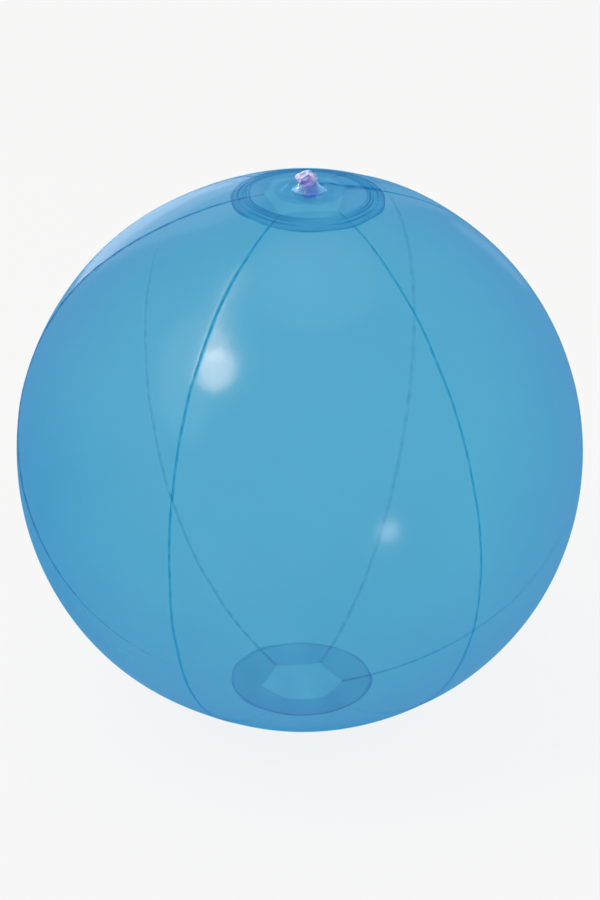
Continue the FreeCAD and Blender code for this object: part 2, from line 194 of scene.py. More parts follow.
# The film lets these shares of red, green and blue light through on a path of one. The path is longer
# where the film is thick, seen aslant or welded, and for red more so where it is strongly welded.
FILM_TINT = (0.2355, 0.6357, 0.799)
FILM_PATCHES = (14.0, 2.0)
FILM_PATHS = (0.49, 0.53)
GRAZING_PATHS = (0.06, 0.15, 0.06)
GRAZING_POWER = 3.0
WELD_PATH = 0.4
WELD_RED_FROM = 0.4
WELD_RED_PATH = 0.5
WELD_GRAZING_LOSS = 1.3
FILM_SKIN = (60.0, 1.0)
FILM_RELIEF = (0.15, 0.05 * MM)
FILM_ROUGHNESS = (0.15, 0.19)
FILM_GLOSS = (0.03, 0.075)
FILM_GLOSS_POWER = 4.0
FILM_HAZE = 0.02
FILM_HAZE_COLOUR = (0.8, 0.8, 0.8, 1)

# The soft vinyl has two tints and two milky colours, a bluish and a pinkish one of each; the pinkish milk
# is a painted glint
VINYL_LUMPS = (700.0, 3.0)
VINYL_SHADES = (350.0, 1.0)
VINYL_SHADE_SPAN = (0.4, 0.6)
VINYL_TINTS = ((0.78, 0.76, 0.92, 1), (0.93, 0.90, 0.97, 1))
VINYL_MILK_AND_GLINT = ((0.42, 0.38, 0.80, 1), (0.98, 0.74, 0.90, 1))
VINYL_RELIEF = (1.0, 0.45 * MM)
VINYL_HAZE = (0.03, 0.2)
VINYL_SHEEN = (1.0, 0.93, 0.98, 1)
VINYL_ROUGHNESS = 0.12
VINYL_GLOSS = (0.04, 0.42)
VINYL_GLOSS_POWER = 2.0

WEB_TINTS = ((0.58, 0.74, 0.91, 1), (0.68, 0.81, 0.94, 1))
FLANGE_TINTS = ((0.94, 0.98, 0.99, 1), (0.97, 0.99, 1.0, 1))
THIN_CLOUDS = (400.0, 2.0)
THIN_RELIEF = (0.5, 0.3 * MM)
THIN_HAZE = (0.0, 0.04)
THIN_HAZE_COLOUR = (0.8, 0.85, 0.9, 1)
THIN_ROUGHNESS = 0.12
THIN_GLOSS = (0.02, 0.35)
THIN_GLOSS_POWER = 3.0

PAPER_WHITE = 0.93
PAPER_SPECKLE_SCALE = 900.0
PAPER_SPECKLE_SHARE = 0.99
SHADOW_SHARE = 0.08


def grey(value):
    """A grey as a colour."""
    return (value, value, value, 1)


class Nodes:
    """A short way to lay out the nodes of one material or of the world."""

    def __init__(self, owner, output="ShaderNodeOutputMaterial"):
        owner.use_nodes = True
        self.owner = owner
        self.tree = owner.node_tree
        self.tree.nodes.clear()
        self.output = self.add(output)

    def give(self, node, socket, value):
        """Links a socket to another node's output, or sets its value."""
        if isinstance(value, bpy.types.NodeSocket):
            self.tree.links.new(value, node.inputs[socket])
        else:
            node.inputs[socket].default_value = value

    def add(self, kind, inputs=None, **settings):
        node = self.tree.nodes.new(kind)
        for name, value in settings.items():
            setattr(node, name, value)
        for socket, value in (inputs or {}).items():
            self.give(node, socket, value)
        return node

    def math(self, operation, first, second=0.0, clamp=False):
        inputs = {0: first, 1: second}
        return self.add("ShaderNodeMath", inputs, operation=operation, use_clamp=clamp).outputs[0]

    def map_range(self, value, span, new_span):
        inputs = {"Value": value, "From Min": span[0], "From Max": span[1]}
        inputs.update({"To Min": new_span[0], "To Max": new_span[1]})
        return self.add("ShaderNodeMapRange", inputs).outputs[0]

    def blend(self, factor, first, second):
        return self.add("ShaderNodeMixShader", {0: factor, 1: first, 2: second}).outputs[0]

    def mix_colour(self, factor, first, second):
        inputs = {0: factor, 6: first, 7: second}
        return self.add("ShaderNodeMix", inputs, data_type="RGBA").outputs[2]

    def place(self):
        return self.add("ShaderNodeTexCoord").outputs["Object"]

    def noise(self, place, scale, detail):
        inputs = {"Vector": place, "Scale": scale, "Detail": detail}
        return self.add("ShaderNodeTexNoise", inputs).outputs["Fac"]

    def bump(self, height, strength, depth):
        inputs = {"Height": height, "Strength": strength, "Distance": depth}
        return self.add("ShaderNodeBump", inputs).outputs[0]

    def attribute(self, name):
        return self.add("ShaderNodeAttribute", attribute_name=name).outputs["Fac"]

    def facing(self, **inputs):
        """0 where the surface is seen straight on, up to 1 where it is seen along its skin."""
        return self.add("ShaderNodeLayerWeight", {"Blend": EVEN_BLEND, **inputs}).outputs["Facing"]

    def seen(self):
        """1 for rays that show a surface, straight, mirrored or through the film, and 0 for the rest."""
        path = self.add("ShaderNodeLightPath").outputs
        seen = self.math("MAXIMUM", path["Is Camera Ray"], path["Is Glossy Ray"])
        return self.math("MAXIMUM", seen, path["Is Transmission Ray"])

    def clear(self, tint):
        return self.add("ShaderNodeBsdfTransparent", {"Color": tint}).outputs[0]

    def matte(self, colour, **inputs):
        return self.add("ShaderNodeBsdfDiffuse", {"Color": colour, **inputs}).outputs[0]

    def gloss(self, colour, roughness, relief):
        inputs = {"Color": colour, "Roughness": roughness, "Normal": relief}
        return self.add("ShaderNodeBsdfAnisotropic", inputs).outputs[0]

    def finish(self, shader):
        self.tree.links.new(shader, self.output.inputs["Surface"])
        return self.owner


def film_tint(nodes, facing, patches):
    """The film's tint, deeper where light takes a longer way through it."""
    straight = nodes.math("SUBTRACT", 1.0, facing)
    slant = nodes.math("SUBTRACT", 1.0, nodes.math("MULTIPLY", straight, straight))
    steep = nodes.math("POWER", slant, GRAZING_POWER, clamp=True)
    weld = nodes.attribute("weld")
    welded = nodes.math("MULTIPLY", nodes.math("ABSOLUTE", weld), WELD_GRAZING_LOSS, clamp=True)
    steep = nodes.math("MULTIPLY", steep, nodes.math("SUBTRACT", 1.0, welded))
    thicker = nodes.map_range(patches, NOISE_SPAN, FILM_PATHS)
    through = nodes.math("ADD", thicker, nodes.math("MULTIPLY", weld, WELD_PATH))
    strong = nodes.math("MAXIMUM", nodes.math("SUBTRACT", weld, WELD_RED_FROM), 0.0)
    redder = nodes.math("ADD", through, nodes.math("MULTIPLY", strong, WELD_RED_PATH))
    channels = {}
    paths = (redder, through, through)
    for name, share, longer, path in zip(("Red", "Green", "Blue"), FILM_TINT, GRAZING_PATHS, paths):
        aslant = nodes.math("ADD", path, nodes.math("MULTIPLY", steep, longer))
        channels[name] = nodes.math("POWER", share, aslant)
    return nodes.add("ShaderNodeCombineColor", channels).outputs[0]


def film_material(name):
    """Translucent film, with gloss and a little haze only on the outer skin's outer side."""
    nodes = Nodes(bpy.data.materials.new(name))
    place = nodes.place()
    facing = nodes.facing()
    patches = nodes.noise(place, *FILM_PATCHES)
    clear = nodes.clear(film_tint(nodes, facing, patches))
    haze = nodes.matte(FILM_HAZE_COLOUR)
    relief = nodes.bump(nodes.noise(place, *FILM_SKIN), *FILM_RELIEF)
    gloss = nodes.gloss(WHITE, nodes.map_range(patches, NOISE_SPAN, FILM_ROUGHNESS), relief)

    behind = nodes.add("ShaderNodeNewGeometry").outputs["Backfacing"]
    # The outer_skin attribute also holds painted shade: less gloss and haze on the left and at the bottom
    lit = nodes.math("MULTIPLY", nodes.attribute("outer_skin"), nodes.math("SUBTRACT", 1.0, behind))
    share = nodes.map_range(nodes.math("POWER", facing, FILM_GLOSS_POWER), FULL_SPAN, FILM_GLOSS)
    body = nodes.blend(nodes.math("MULTIPLY", lit, FILM_HAZE), clear, haze)
    return nodes.finish(nodes.blend(nodes.math("MULTIPLY", lit, share), body, gloss))


def clear_vinyl(name):
    """Clear moulded vinyl, which shows what is behind it through bluish and pinkish glitter, its pinkish
    milky patches painted glints.
    """
    nodes = Nodes(bpy.data.materials.new(name))
    place = nodes.place()
    lumps = nodes.noise(place, *VINYL_LUMPS)
    relief = nodes.bump(lumps, *VINYL_RELIEF)
    shade = nodes.map_range(nodes.noise(place, *VINYL_SHADES), VINYL_SHADE_SPAN, FULL_SPAN)
    clear = nodes.clear(nodes.mix_colour(shade, *VINYL_TINTS))
    # The pinkish milky patches are painted glints
    haze = nodes.matte(nodes.mix_colour(shade, *VINYL_MILK_AND_GLINT), Normal=relief)
    body = nodes.blend(nodes.map_range(lumps, HAZE_NOISE_SPAN, VINYL_HAZE), clear, haze)
    gloss = nodes.gloss(VINYL_SHEEN, VINYL_ROUGHNESS, relief)
    steep = nodes.math("POWER", nodes.facing(Normal=relief), VINYL_GLOSS_POWER)
    return nodes.finish(nodes.blend(nodes.map_range(steep, FULL_SPAN, VINYL_GLOSS), body, gloss))


def thin_clear(name, tints):
    """Thin clear vinyl, which lets light straight through with a little gloss and haze."""
    nodes = Nodes(bpy.data.materials.new(name))
    cloud = nodes.noise(nodes.place(), *THIN_CLOUDS)
    relief = nodes.bump(cloud, *THIN_RELIEF)
    clear = nodes.clear(nodes.mix_colour(cloud, *tints))
    haze = nodes.matte(THIN_HAZE_COLOUR, Normal=relief)
    body = nodes.blend(nodes.map_range(cloud, HAZE_NOISE_SPAN, THIN_HAZE), clear, haze)
    gloss = nodes.gloss(WHITE, THIN_ROUGHNESS, relief)
    steep = nodes.math("POWER", nodes.facing(Normal=relief), THIN_GLOSS_POWER)
    return nodes.finish(nodes.blend(nodes.map_range(steep, FULL_SPAN, THIN_GLOSS), body, gloss))


def floor_material(name):
    """A pale floor that shows one even white and keeps a soft shadow."""
    nodes = Nodes(bpy.data.materials.new(name))
    glow = nodes.add("ShaderNodeEmission", {"Color": grey(PAPER_WHITE), "Strength": 1.0}).outputs[0]
    speckle = nodes.add("ShaderNodeTexNoise", {"Scale": PAPER_SPECKLE_SCALE}).outputs["Fac"]
    paper = nodes.mix_colour(speckle, grey(PAPER_WHITE * PAPER_SPECKLE_SHARE), grey(PAPER_WHITE))
    share = nodes.math("MULTIPLY", nodes.seen(), 1 - SHADOW_SHARE)
    return nodes.finish(nodes.blend(share, nodes.matte(paper), glow))


blue_film = film_material("blue_film")
soft_clear = clear_vinyl("soft_clear_vinyl")
web_clear = thin_clear("web_clear_vinyl", WEB_TINTS)
flange_clear = thin_clear("flange_clear_vinyl", FLANGE_TINTS)


# The film ball

NEAR_SEAM = tuple(step * MM for step in (0, 0.15, 0.3, 0.45, 0.6, 0.8, 1.1, 1.6, 2.4, 3.6, 5.5, 8))
MIDDLE_COLUMNS = 30
PANEL_ROWS = 260
GROOVE_DEPTH = 0.08 * MM
GROOVE_REACH = 0.6 * MM
RIDGE_REACH = 7 * MM
SEAM_WOBBLE = 0.12 * MM
WOBBLE_WAVES = (18 * MM, 55 * MM)
WOBBLE_SEED = 100
PUCKER_HEIGHT = 0.03 * MM
PUCKER_REACH = 7 * MM
PUCKER_WAVES = (14 * MM, 40 * MM)
PUCKER_SEED = 200
SWELL_HEIGHT = 0.15 * MM
SWELL_LENGTH = 90 * MM
SWELL_SEED = 7
SWELL_FROM_SEAM = 6 * MM

# The weld along a seam: a dark bead with a paler line beside it, which is a painted highlight
BEAD_REACH = 0.42 * MM
BEAD_EDGE_SHARE = 1.5
BEAD_WAVES = (3 * MM, 14 * MM)
BEAD_SEED = 400
BEAD_EVEN = 0.8
BEAD_UNEVEN = 0.45
BEAD_LIMITS = (0.25, 1.2)
PAINTED_SEAM_HIGHLIGHT = 0.12
PALE_PLACE = 1.1 * MM
PALE_REACH = 0.4 * MM

FIN_WELD = -1.1
FIN_GAP = 0.02 * MM
FIN_LEAN = 0.3 * MM
FIN_LEAN_WAVES = (6 * MM, 18 * MM)
FIN_LEAN_SEED = 300
FIN_UNEVEN = 0.15
FIN_DEPTH_WAVES = (9 * MM, 30 * MM)
FIN_DEPTH_SEED = 320
FIN_STEP_SHARES = (1.0, 0.7, 0.4, 0.15)
FOOT_SHARE = 0.8

RIM_LINE = 0.7 * MM
TOP_OVAL = 0.05
BOTTOM_OVAL = -0.06
BELLY_SHIFT = 2.6 * MM
BELLY_SWELL = 0.008

# Each seam in turn from the front left one. shifts, welds and widths have a value near the top, one at
# the middle and one near the bottom: how far it stands off its even place in degrees, how dark its weld
# is, and how many times its usual width. fin is the share of the full fin that it has, and fin_dark how
# much darker that is at the middle. ridge is its height, and ends is how far from the axis it stops at
# the top and at the bottom, in millimetres. bend is how many degrees it bends aside besides, at what
# polar angle and over what reach.
Seam = namedtuple("Seam", "shifts welds widths fin ridge ends bend fin_dark", defaults=((0, 1, 1), 0))
SEAMS = (
    Seam(
        shifts=(-3.6, 0.3, -1.5), welds=(1.3, 1.15, 0.2), widths=(1.0, 1.0, 1.0),
        fin=0.9, ridge=0.31, ends=(27.7, 17.0),
    ),
    Seam(
        shifts=(-0.2, 1.9, 5.0), welds=(0.8, 1.05, 0.2), widths=(0.9, 1.0, 1.0),
        fin=0.9, ridge=0.15, ends=(25.0, 17.8),
    ),
    Seam(
        shifts=(13.0, -5.4, 0.0), welds=(1.0, 0.6, 1.4), widths=(1.8, 1.5, 2.1),
        fin=0.5, ridge=0.15, ends=(17.5, 21.7), bend=(9.5, 0.64, 0.27),
    ),
    Seam(
        shifts=(-3.2, -0.7, -2.4), welds=(0.8, 0.55, 0.7), widths=(2.0, 2.3, 1.9),
        fin=0.9, ridge=0.15, ends=(23.0, 21.3),
    ),
    Seam(
        shifts=(6.4, 1.7, 4.7), welds=(0.5, 0.65, 1.1), widths=(1.6, 1.8, 1.8),
        fin=0.4, ridge=0.15, ends=(25.0, 20.8),
    ),
    Seam(
        shifts=(1.8, -4.5, 5.4), welds=(1.5, 1.9, -2.0), widths=(1.3, 4.4, 0.8),
        fin=0.8, ridge=0.95, ends=(21.5, 21.3), bend=(-2.5, 0.92, 0.3), fin_dark=0.5,
    ),
)
LEAST_WIDTH = 0.5

# Where the film is lighter or duller, and the painted shade on the left and at the bottom, where its gloss
# and haze are turned down
TOP_LIGHTER = 0.9
BOTTOM_LIGHTER = 0.72
SEAM_DULL_SHARE = 0.95
SEAM_DULL_REACH = 0.9 * MM
LEFT_PAINTED_SHADE_SHARE = 0.35
LEFT_PAINTED_SHADE_FROM = 85 * MM
LEFT_PAINTED_SHADE_REACH = 35 * MM
LEFT_PAINTED_SHADE_BACK = 50 * MM
LEFT_PAINTED_SHADE_TOP = 78 * MM
LEFT_PAINTED_SHADE_FADE = 60 * MM
LOW_PAINTED_SHADE_SHARE = 0.9
LOW_PAINTED_SHADE_FROM = 88 * MM
LOW_PAINTED_SHADE_REACH = 26 * MM


def along_seam(values, slope):
    """What a seam has at a polar angle, from its values near the top, at the middle and near the bottom."""
    top, middle, bottom = values
    ends = (top + bottom) / 2
    return ends + (top - bottom) / 2 * np.cos(slope) + (middle - ends) * np.sin(slope) ** 2


def belly(points):
    """Points of the film, about the ball's centre, with the ball's belly wider and off to one side."""
    share = 1 - (points[..., 2] / BALL_RADIUS) ** 4
    moved = points.copy()
    moved[..., :2] *= (1 + BELLY_SWELL * share)[..., None]
    moved[..., 0] -= BELLY_SHIFT * share
    return moved


def profile_distance(level_radius, turn):
    """How far the film lies from the ball's own axis, where its circle has this radius there."""
    radius = level_radius - BULGE_AXIS
    offset = BULGE_AXIS * np.sin(turn)
    return BULGE_AXIS * np.cos(turn) + np.sqrt(radius**2 - offset**2)


def end_slope(reach, even):
    """The polar angle of the film at a distance from the axis, at an even turn from the panel's middle."""
    radius = np.hypot(reach * np.cos(even) - BULGE_AXIS, reach * np.sin(even))
    return np.arcsin((radius + BULGE_AXIS) / BALL_RADIUS)


def straight_end(left_reach, right_reach, turns):
    """How far from the axis a panel's straight end lies, at turns from its left seam to its right one."""
    left_turn, right_turn = turns[0], turns[-1]
    across = np.sin(right_turn - turns) / left_reach + np.sin(turns - left_turn) / right_reach
    return np.sin(right_turn - left_turn) / across


def seam_shift(seam, slope):
    """How far a seam wanders sideways from its even place, as an angle."""
    aside, bend_slope, bend_reach = SEAMS[seam].bend
    bow = np.radians(along_seam(SEAMS[seam].shifts, slope) + aside * bell(slope - bend_slope, bend_reach))
    wobble = SEAM_WOBBLE * ripple(WOBBLE_SEED + seam, BALL_RADIUS * slope, *WOBBLE_WAVES)
    return bow + wobble / (BALL_RADIUS * np.sin(slope))


def seam_fin(edge, outward, across, side, seam, along):
    """The outer and inner faces of the fin on one side of a seam, from its tip up to the skin."""
    uneven = 1 + FIN_UNEVEN * ripple(FIN_DEPTH_SEED + seam, along, *FIN_DEPTH_WAVES)
    depth = FIN_DEPTH * SEAMS[seam].fin * uneven
    lean = FIN_LEAN * ripple(FIN_LEAN_SEED + seam, along, *FIN_LEAN_WAVES)
    faces = []
    for aside, lower in ((FIN_GAP / 2, 0), (FIN_GAP / 2 + FILM, FILM)):
        steps = []
        for share in FIN_STEP_SHARES:
            drop = depth * share + lower * (1 - share)
            sideways = lean * share**1.5 - side * aside
            steps.append(edge - outward * drop[:, None] + across * sideways[:, None])
        faces.append(np.stack(steps, axis=1))
    return faces


def under_cap(skin, side, oval):
    """How much of each point of a panel lies under the top cap, or under the bottom one."""
    reach = np.hypot(skin[..., 0], skin[..., 1])
    rim = CAP_RADIUS * (1 + oval * (skin[..., 1] / reach) ** 2) - RIM_LINE
    return np.clip((rim - reach) / RIM_LINE, 0, 1) * (side * skin[..., 2] > 0)


def panel_turns(seams, rows):
    """Turns of a panel's columns from its middle: close together near its two seams, then even."""
    near = np.array(NEAR_SEAM)
    edges = []
    for side, seam in ((-1, seams[0]), (1, seams[1])):
        top, bottom = (end_slope(end * MM, side * HALF_ANGLE) for end in SEAMS[seam].ends)
        slope = top + (math.pi - bottom - top) * rows
        edges.append((side * HALF_ANGLE + seam_shift(seam, slope), BALL_RADIUS * np.sin(slope)))
    (left_turn, left_far), (right_turn, right_far) = edges
    left_near = left_turn + near / left_far
    right_near = right_turn - near[::-1] / right_far
    middle = np.linspace(0, 1, MIDDLE_COLUMNS + 2)[None, 1:-1]
    between = left_near[:, -1:] + (right_near[:, :1] - left_near[:, -1:]) * middle
    return np.concatenate([left_near, between, right_near], axis=1)


def panel_surface(seams, skin, slope, gaps):
    """The relief of a panel's skin, how welded it is and how glossy, its gloss and haze turned down on the
    left and at the bottom as painted shade.
    """
    along = BALL_RADIUS * slope
    reach = np.minimum(*gaps)
    relief = -GROOVE_DEPTH * bell(reach, GROOVE_REACH)
    weld = np.zeros(reach.shape)
    for seam, gap in zip(seams, gaps):
        pucker = ripple(PUCKER_SEED + seam, along, *PUCKER_WAVES)
        relief += PUCKER_HEIGHT * np.exp(-gap / PUCKER_REACH) * pucker
        relief += SEAMS[seam].ridge * MM * np.sin(slope) * np.exp(-gap / RIDGE_REACH)
        uneven = BEAD_EVEN + BEAD_UNEVEN * ripple(BEAD_SEED + seam, along, *BEAD_WAVES)
        width = BEAD_REACH * np.maximum(LEAST_WIDTH, along_seam(SEAMS[seam].widths, slope))
        bead = np.clip(uneven, *BEAD_LIMITS) * np.clip(BEAD_EDGE_SHARE - gap / width, 0, 1)
        weld += np.maximum(0, along_seam(SEAMS[seam].welds, slope)) * bead
        # The paler line beside each bead is a painted highlight
        weld -= PAINTED_SEAM_HIGHLIGHT * bell(gap - PALE_PLACE, PALE_REACH)
    relief += SWELL_HEIGHT * swell(SWELL_SEED, skin, SWELL_LENGTH) * (1 - bell(reach, SWELL_FROM_SEAM))

    under_top, under_bottom = under_cap(skin, 1, TOP_OVAL), under_cap(skin, -1, BOTTOM_OVAL)
    weld -= TOP_LIGHTER * under_top + BOTTOM_LIGHTER * under_bottom
    gloss = (1 - under_top - under_bottom) * (1 - SEAM_DULL_SHARE * bell(reach, SEAM_DULL_REACH))
    # Painted shade: less gloss and haze on the left side and at the bottom, so that these show less of the
    # bright floor and room
    right, back, up = np.moveaxis(skin, 2, 0)
    leftwards = np.clip((-right - LEFT_PAINTED_SHADE_FROM) / LEFT_PAINTED_SHADE_REACH, 0, 1) * (back < LEFT_PAINTED_SHADE_BACK)
    gloss *= 1 - LEFT_PAINTED_SHADE_SHARE * leftwards * np.clip((LEFT_PAINTED_SHADE_TOP - up) / LEFT_PAINTED_SHADE_FADE, 0, 1)
    gloss *= 1 - LOW_PAINTED_SHADE_SHARE * np.clip((-up - LOW_PAINTED_SHADE_FROM) / LOW_PAINTED_SHADE_REACH, 0, 1)
    return relief, weld, gloss


def make_panel(place):
    """One long panel, bowed between its seams, with a weld fin turned inwards along each."""
    bearing = FRONT_BEARING + place * PANEL_ANGLE
    seams = (place, (place + 1) % PANEL_COUNT)
    left, right = (SEAMS[seam] for seam in seams)
    rows = np.linspace(0, 1, PANEL_ROWS)[:, None]
    turn = panel_turns(seams, rows)
    left_turn, right_turn = turn[:, :1], turn[:, -1:]
    even = HALF_ANGLE * (2 * (turn - left_turn) / (right_turn - left_turn) - 1)
    top = end_slope(straight_end(left.ends[0] * MM, right.ends[0] * MM, turn[0]), even[0])
    bottom = math.pi - end_slope(straight_end(left.ends[1] * MM, right.ends[1] * MM, turn[-1]), even[-1])
    slope = top + (bottom - top) * rows
    distance = profile_distance(BALL_RADIUS * np.sin(slope), even)

    angle = bearing + turn
    skin = np.stack(
        [distance * np.cos(angle), distance * np.sin(angle), BALL_RADIUS * np.cos(slope)], axis=2)
    outward = skin / np.linalg.norm(skin, axis=2, keepdims=True)
    gaps = ((turn - left_turn) * distance, (right_turn - turn) * distance)
    relief, weld, gloss = panel_surface(seams, skin, slope, gaps)
    outer = skin + outward * relief[..., None]
    inner = outer - outward * FILM

    fins = []
    for side, seam, column in ((-1, seams[0], 0), (1, seams[1], -1)):
        bearings = angle[:, column]
        across = np.stack([-np.sin(bearings), np.cos(bearings), np.zeros(PANEL_ROWS)], axis=1)
        along = BALL_RADIUS * slope[:, column]
        fins.append(seam_fin(outer[:, column], outward[:, column], across, side, seam, along))
    (left_out, left_in), (right_out, right_in) = fins
    for column, foot in ((0, 2), (1, 3), (-1, -3), (-2, -4)):
        inner[:, column] += (inner[:, foot] - inner[:, column]) * FOOT_SHARE
    outer = np.concatenate([left_out, outer, right_out[:, ::-1]], axis=1)[:, ::-1]
    inner = np.concatenate([left_in, inner, right_in[:, ::-1]], axis=1)[:, ::-1]
    fin = np.ones((1, left_out.shape[1])) * np.sin(slope[:, :1]) ** 2
    left_weld, right_weld = (FIN_WELD + seam.fin_dark * fin for seam in (left, right))
    weld = np.concatenate([left_weld, weld, right_weld], axis=1)[:, ::-1]
    no_gloss = np.zeros(fin.shape)
    gloss = np.concatenate([no_gloss, gloss, no_gloss], axis=1)[:, ::-1]

    centre = np.array([0, 0, CENTRE_HEIGHT])
    points, faces = shell(belly(outer) + centre, belly(inner) + centre)
    piece = new_piece(f"film_panel_{place + 1}", points, faces, blue_film)
    mark(piece, weld.ravel(), gloss.ravel())
    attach(piece, "ball")
    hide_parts(f"panel_{place + 1}")


for place in range(PANEL_COUNT):
    make_panel(place)


# The caps, and the rings of film under the top one

RING_COLUMNS = 240
RIM_WOBBLE = 0.35 * MM
RIM_LOBES = (3, 5, 8, 11)
RIM_WELD = 0.12
TOP_RIM_SEED, PATCH_RIM_SEED, FLANGE_RIM_SEED, BOTTOM_RIM_SEED = 21, 22, 23, 24
PATCH_LIGHTER = 0.9

# From what radius to what radius the rows of each piece lie, and how far apart
TOP_DISC_ROWS = (
    (HOLE_RADIUS, 26.6 * MM, 1.0 * MM),
    (26.8 * MM, 34.2 * MM, 0.14 * MM),
    (34.8 * MM, CAP_RADIUS, 0.5 * MM),
)
BOTTOM_DISC_ROWS = ((0.6 * MM, 16 * MM, 1.0 * MM), (16.6 * MM, CAP_RADIUS, 0.8 * MM))
PATCH_ROWS = ((HOLE_RADIUS, PATCH_RADIUS, 0.8 * MM),)
FLANGE_ROWS = ((HOLE_RADIUS, FLANGE_RADIUS, 0.8 * MM),)

# The top disc is welded in a ring that starts at the first of four imprints
IMPRINT_RINGS = (28.1 * MM, 29.4 * MM, 30.8 * MM, 33.3 * MM)
IMPRINT_DEPTH = 0.15 * MM
IMPRINT_REACH = 0.32 * MM
IMPRINT_WELD = 2.2
IMPRINT_EVEN = 0.45
IMPRINT_UNEVEN = 0.45
IMPRINT_LIMITS = (0.1, 1)
IMPRINT_PHASE = 2.1
WELD_RING = IMPRINT_RINGS[0]
DISC_LIGHTER = 0.12
RING_DARKER = 0.3
RING_WELD_FADE = 0.3 * MM
DISC_GLOSS = 0.85
RING_GLOSS = 0.55
RING_GLOSS_FADE = 0.6 * MM
TOP_SWELL_HEIGHT = 0.06 * MM
TOP_SWELL_LENGTH = 30 * MM
TOP_SWELL_SEED = 11
TOP_BLOTCHES = 0.1
TOP_BLOTCH_LENGTH = 16 * MM
TOP_BLOTCH_SEED = 13

# The crease has one bearing at its middle and bends off it towards both ends, in degrees
CREASE_REACH = 1.7 * MM
CREASE_BEARING = 16.5
CREASE_MIDDLE = 18 * MM
CREASE_INNER_BEND = 28
CREASE_INNER_REACH = 9 * MM
CREASE_OUTER_BEND = -3.2
CREASE_OUTER_REACH = 16 * MM
CREASE_DULL_SHARE = 0.8
CREASE_WELD = 1.6
CREASE_WAVES = (3 * MM, 9 * MM)
CREASE_SEED = 500
CREASE_EVEN = 0.8
CREASE_UNEVEN = 0.4
CREASE_LIMITS = (0.2, 1.2)

FLAT_SOFTNESS = 0.12 * MM
BOTTOM_SWELL_HEIGHT = 0.05 * MM
BOTTOM_SWELL_LENGTH = 26 * MM
BOTTOM_SWELL_SEED = 12
BOTTOM_BLOTCHES = 0.12
BOTTOM_BLOTCH_LENGTH = 18 * MM
BOTTOM_BLOTCH_SEED = 14


def row_radii(bands):
    """The radii of a round piece's rows, in each band about as far apart as it says."""
    radii = []
    for low, high, step in bands:
        radii += list(np.linspace(low, high, max(2, round((high - low) / step))))
    return np.array(radii)[:, None] + np.zeros((1, RING_COLUMNS))


def polar_grid(radii, seed, oval):
    """Radii and bearings of a round piece, its rim a little uneven and its width off its depth."""
    bearings = np.linspace(0, 2 * math.pi, RING_COLUMNS, endpoint=False)[None, :]
    draw = np.random.default_rng(seed)
    uneven = sum(np.sin(lobes * bearings + draw.uniform(0, 2 * math.pi)) for lobes in RIM_LOBES) / 2
    share = radii / radii.max()
    return radii * (1 + oval * share**2 * np.sin(bearings) ** 2) + RIM_WOBBLE * uneven * share**6, bearings


def disc_points(radii, bearings, height):
    """Points at radii and bearings about the ball's axis."""
    return np.stack([radii * np.cos(bearings), radii * np.sin(bearings), height], axis=2)


def ball_sheet(radii, bearings, radius, lift):
    """Points at a radius of the ball near its top, lifted outwards, in the ball's own place."""
    points = disc_points(radii, bearings, np.sqrt(radius**2 - radii**2))
    return belly(points + points / radius * lift[..., None]) + np.array([0, 0, CENTRE_HEIGHT])


def even(value):
    """What is the same at every radius and bearing."""
    return lambda radii, bearings: np.full(radii.shape, float(value))


def crease(radii, bearings):
    """How much of each point lies in the crease that runs from the valve along the right seam."""
    inner = np.clip((CREASE_MIDDLE - radii) / CREASE_INNER_REACH, 0, 1)
    outer = np.clip((radii - CREASE_MIDDLE) / CREASE_OUTER_REACH, 0, 1)
    course = np.radians(CREASE_BEARING + CREASE_INNER_BEND * inner + CREASE_OUTER_BEND * outer)
    return bell(radii * (bearings - course), CREASE_REACH)


def cap_relief(radii, bearings):
    """The weld's imprint rings, and a slight unevenness of the disc."""
    spots = disc_points(radii, bearings, 0 * radii)
    lift = TOP_SWELL_HEIGHT * swell(TOP_SWELL_SEED, spots, TOP_SWELL_LENGTH)
    for ring in IMPRINT_RINGS:
        lift -= IMPRINT_DEPTH * bell(radii - ring, IMPRINT_REACH)
    return lift


def cap_weld(radii, bearings):
    """How welded the disc is: not at all inside its weld ring, most along the imprints and the crease."""
    weld = RING_DARKER * rise(radii - WELD_RING, RING_WELD_FADE) - DISC_LIGHTER
    for place, ring in enumerate(IMPRINT_RINGS):
        uneven = IMPRINT_UNEVEN * np.sin(bearings * (2 + place) + IMPRINT_PHASE * place)
        share = np.clip(IMPRINT_EVEN + uneven, *IMPRINT_LIMITS)
        weld += IMPRINT_WELD * share * bell(radii - ring, IMPRINT_REACH)
    weld += RIM_WELD * bell(radii - CAP_RADIUS, RIM_LINE)
    uneven = CREASE_EVEN + CREASE_UNEVEN * ripple(CREASE_SEED, radii, *CREASE_WAVES)
    weld += CREASE_WELD * crease(radii, bearings) * np.clip(uneven, *CREASE_LIMITS)
    spots = disc_points(radii, bearings, 0 * radii)
    return weld + TOP_BLOTCHES * swell(TOP_BLOTCH_SEED, spots, TOP_BLOTCH_LENGTH)


def cap_gloss(radii, bearings):
    """How glossy the disc is: duller in the ring where it is welded and in the crease."""
    shine = DISC_GLOSS - (DISC_GLOSS - RING_GLOSS) * rise(radii - WELD_RING, RING_GLOSS_FADE)
    return shine * (1 - CREASE_DULL_SHARE * crease(radii, bearings))


def make_film_ring(name, material, bands, outside, thickness, seed, weld,
                   gloss=even(0), relief=even(0), oval=0.0):
    """A round piece of film that follows the ball near its top, round the valve's hole."""
    written = row_radii(bands)
    radii, bearings = polar_grid(written, seed, oval)
    lift = relief(written, bearings)
    outer = ball_sheet(radii, bearings, outside, lift)
    inner = ball_sheet(radii, bearings, outside - thickness, lift)
    points, faces = shell(outer[::-1], inner[::-1], wrap=True)
    piece = new_piece(name, points, faces, material)
    mark(piece, weld(written, bearings)[::-1].ravel(), gloss(written, bearings)[::-1].ravel())
    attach(piece, "ball")
    return piece


